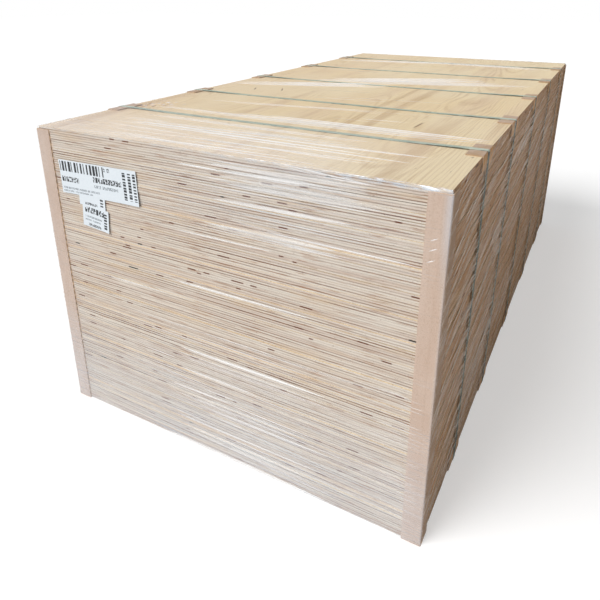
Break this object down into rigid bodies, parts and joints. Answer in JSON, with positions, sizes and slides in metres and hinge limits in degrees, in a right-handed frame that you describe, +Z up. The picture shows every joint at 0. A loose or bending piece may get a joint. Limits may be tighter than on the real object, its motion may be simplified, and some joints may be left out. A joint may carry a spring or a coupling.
{
  "type": "pack of plywood sheets",
  "caption": "Pack of full-size plywood sheets laid flat in one pile, with board corner posts, edge guards, plastic straps, clear stretch film and plain end labels.",
  "frame": {"origin": "under the middle of the pack, on the floor that its straps lie on", "axes": "+X across the sheets, +Y along the sheets away from the labelled end, +Z up"},
  "size_m": [1.2328, 2.4534, 0.9658],
  "materials": {
    "plywood": "matte",
    "kraft_board": "matte",
    "strap_plastic": "satin",
    "clear_film": "gloss",
    "label_paper": "matte"
  },
  "bodies": {
    "root": {"bottom_sheet": "plywood", "corner_post_back_left": "kraft_board", "corner_post_back_right": "kraft_board", "corner_post_front_left": "kraft_board", "corner_post_front_right": "kraft_board", "edge_guard_1_bottom_left": "kraft_board", "edge_guard_1_bottom_right": "kraft_board", "edge_guard_1_top_left": "kraft_board", "edge_guard_1_top_right": "kraft_board", "edge_guard_2_bottom_left": "kraft_board", "edge_guard_2_bottom_right": "kraft_board", "edge_guard_2_top_left": "kraft_board", "edge_guard_2_top_right": "kraft_board", "edge_guard_3_bottom_left": "kraft_board", "edge_guard_3_bottom_right": "kraft_board", "edge_guard_3_top_left": "kraft_board", "edge_guard_3_top_right": "kraft_board", "edge_guard_4_bottom_left": "kraft_board", "edge_guard_4_bottom_right": "kraft_board", "edge_guard_4_top_left": "kraft_board", "edge_guard_4_top_right": "kraft_board", "edge_guard_5_bottom_left": "kraft_board", "edge_guard_5_bottom_right": "kraft_board", "edge_guard_5_top_left": "kraft_board", "edge_guard_5_top_right": "kraft_board", "inner_sheets": "plywood", "pack_label": "label_paper", "strap_1": "strap_plastic", "strap_2": "strap_plastic", "strap_3": "strap_plastic", "strap_4": "strap_plastic", "strap_5": "strap_plastic", "stretch_film": "clear_film", "tally_label_lower": "label_paper", "tally_label_upper": "label_paper", "top_sheet": "plywood"}
  },
  "joints": []
}
